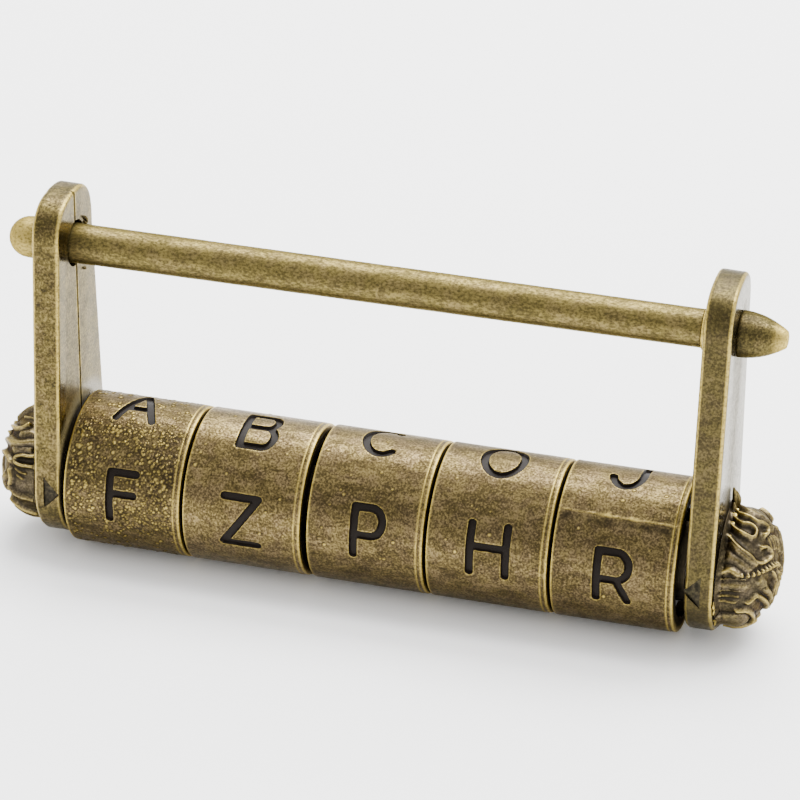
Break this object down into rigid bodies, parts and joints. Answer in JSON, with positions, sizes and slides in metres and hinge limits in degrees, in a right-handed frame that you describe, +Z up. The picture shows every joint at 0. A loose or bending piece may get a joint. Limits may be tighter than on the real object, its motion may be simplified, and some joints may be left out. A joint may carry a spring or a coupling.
{
  "type": "letter combination padlock",
  "caption": "Bar-shackle letter combination lock: a row of lettered rings between two tall end plates, with a long bar above, in antique bronze.",
  "frame": {"origin": "on the bar's axis, midway along the letter rings, where the lock hangs", "axes": "+X along the bar and the rings towards the plate with the bullet-shaped tip; -Y towards the reader, on the side of the reading marks; +Z up"},
  "size_m": [0.0981, 0.019, 0.0471],
  "materials": {
    "plate_bronze": "antique bronze plating, worn bright along the edges",
    "ring_bronze": "antique bronze plating, mottled, with dark letters",
    "bar_bronze": "antique bronze plating, brushed along its length",
    "knob_bronze": "cast, antique bronze plating, dark in the hollows",
    "tube_brass": "plain turned brass",
    "steel": "plain turned steel",
    "spring_steel": "blued spring steel"
  },
  "bodies": {
    "shackle": {"right_plate": "plate_bronze", "shackle_bar": "bar_bronze", "bar_collar": "bar_bronze", "bar_tip": "bar_bronze", "locking_rod": "steel", "lock_tooth_1": "steel", "lock_tooth_2": "steel", "lock_tooth_3": "steel", "lock_tooth_4": "steel", "lock_tooth_5": "steel", "right_knob": "knob_bronze", "right_knob_screw": "steel"},
    "lock_body": {"left_plate_front": "plate_bronze", "left_plate_rear": "plate_bronze", "plate_pin_upper": "steel", "plate_pin_lower": "steel", "core_tube": "tube_brass", "left_knob": "knob_bronze", "left_knob_screw": "steel", "retaining_ring": "spring_steel", "wave_washer": "spring_steel"},
    "ring_1": {"letter_ring_1": "ring_bronze"},
    "ring_2": {"letter_ring_2": "ring_bronze"},
    "ring_3": {"letter_ring_3": "ring_bronze"},
    "ring_4": {"letter_ring_4": "ring_bronze"},
    "ring_5": {"letter_ring_5": "ring_bronze"}
  },
  "joints": [
    {"name": "body_slide", "type": "slide", "parent": "shackle", "child": "lock_body", "axis": [-1, 0, 0], "range_m": [0, 0.085]},
    {"name": "ring_1_turn", "type": "hinge", "parent": "lock_body", "child": "ring_1", "pos_m": [-0.03072, 0, -0.0307], "axis": [1, 0, 0], "continuous": true},
    {"name": "ring_2_turn", "type": "hinge", "parent": "lock_body", "child": "ring_2", "pos_m": [-0.01536, 0, -0.0307], "axis": [1, 0, 0], "continuous": true},
    {"name": "ring_3_turn", "type": "hinge", "parent": "lock_body", "child": "ring_3", "pos_m": [0, 0, -0.0307], "axis": [1, 0, 0], "continuous": true},
    {"name": "ring_4_turn", "type": "hinge", "parent": "lock_body", "child": "ring_4", "pos_m": [0.01536, 0, -0.0307], "axis": [1, 0, 0], "continuous": true},
    {"name": "ring_5_turn", "type": "hinge", "parent": "lock_body", "child": "ring_5", "pos_m": [0.03072, 0, -0.0307], "axis": [1, 0, 0], "continuous": true}
  ]
}
